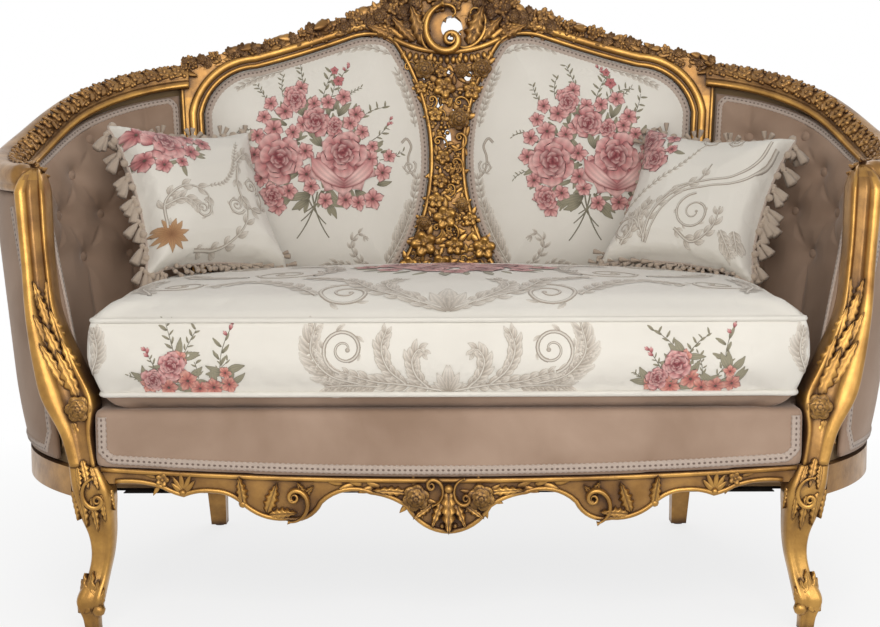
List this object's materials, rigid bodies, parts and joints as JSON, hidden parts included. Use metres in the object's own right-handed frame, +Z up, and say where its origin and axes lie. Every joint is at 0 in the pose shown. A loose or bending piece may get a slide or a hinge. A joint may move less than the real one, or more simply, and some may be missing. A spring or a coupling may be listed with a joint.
{
  "type": "baroque settee",
  "caption": "Carved gilt settee with a wrapped velvet back and arms, floral brocade back panels, a loose crowned seat cushion and throw pillows.",
  "frame": {"origin": "on the floor under the middle of the bounding box", "axes": "+X to the right as seen from the front, +Y from the front edge to the back, +Z up"},
  "size_m": [1.4808, 0.7503, 1.012],
  "materials": {
    "gilt_wood": "antique gold leaf over brown, satin",
    "plain_beech": "raw",
    "taupe_velvet": "velvet pile",
    "floral_brocade": "satin ground with woven roses and scrolls",
    "jute_webbing": "coarse weave",
    "black_cambric": "matt",
    "steel_glide": "satin"
  },
  "bodies": {
    "frame": {"arm_post_left": "gilt_wood", "arm_post_right": "gilt_wood", "arm_rail_left": "gilt_wood", "arm_rail_right": "gilt_wood", "back_backing_left": "jute_webbing", "back_backing_right": "jute_webbing", "back_pad_left": "floral_brocade", "back_pad_right": "floral_brocade", "back_seat_rail": "gilt_wood", "back_splat": "gilt_wood", "back_stile_left": "gilt_wood", "back_stile_right": "gilt_wood", "corner_blocks": "plain_beech", "crest_rail": "gilt_wood", "dust_cover": "black_cambric", "frame_dowels": "plain_beech", "front_leg_left": "gilt_wood", "front_leg_right": "gilt_wood", "front_seat_rail": "gilt_wood", "leg_glides": "steel_glide", "lower_back_rail": "gilt_wood", "outer_back_cover": "taupe_velvet", "outer_side_cover_left": "taupe_velvet", "outer_side_cover_right": "taupe_velvet", "rear_leg_left": "gilt_wood", "rear_leg_right": "gilt_wood", "seat_platform": "taupe_velvet", "side_backing_left": "jute_webbing", "side_backing_right": "jute_webbing", "side_pad_left": "taupe_velvet", "side_pad_right": "taupe_velvet", "side_seat_rail_left": "gilt_wood", "side_seat_rail_right": "gilt_wood", "tuft_buttons_left": "taupe_velvet", "tuft_buttons_right": "taupe_velvet", "webbing_cleat": "plain_beech", "webbing_crosswise": "jute_webbing", "webbing_lengthwise": "jute_webbing"},
    "seat_cushion": {"seat_cushion": "floral_brocade"},
    "pillow_left": {"throw_pillow_left": "floral_brocade"},
    "pillow_right": {"throw_pillow_right": "floral_brocade"}
  },
  "joints": [
    {"name": "cushion_lift", "type": "slide", "parent": "frame", "child": "seat_cushion", "axis": [0, 0, 1], "range_m": [0, 0.7]},
    {"name": "pillow_left_lift", "type": "slide", "parent": "seat_cushion", "child": "pillow_left", "axis": [0.3505, -0.4506, 0.8211], "range_m": [0, 0.5]},
    {"name": "pillow_right_lift", "type": "slide", "parent": "seat_cushion", "child": "pillow_right", "axis": [-0.3505, -0.4506, 0.8211], "range_m": [0, 0.5]}
  ]
}
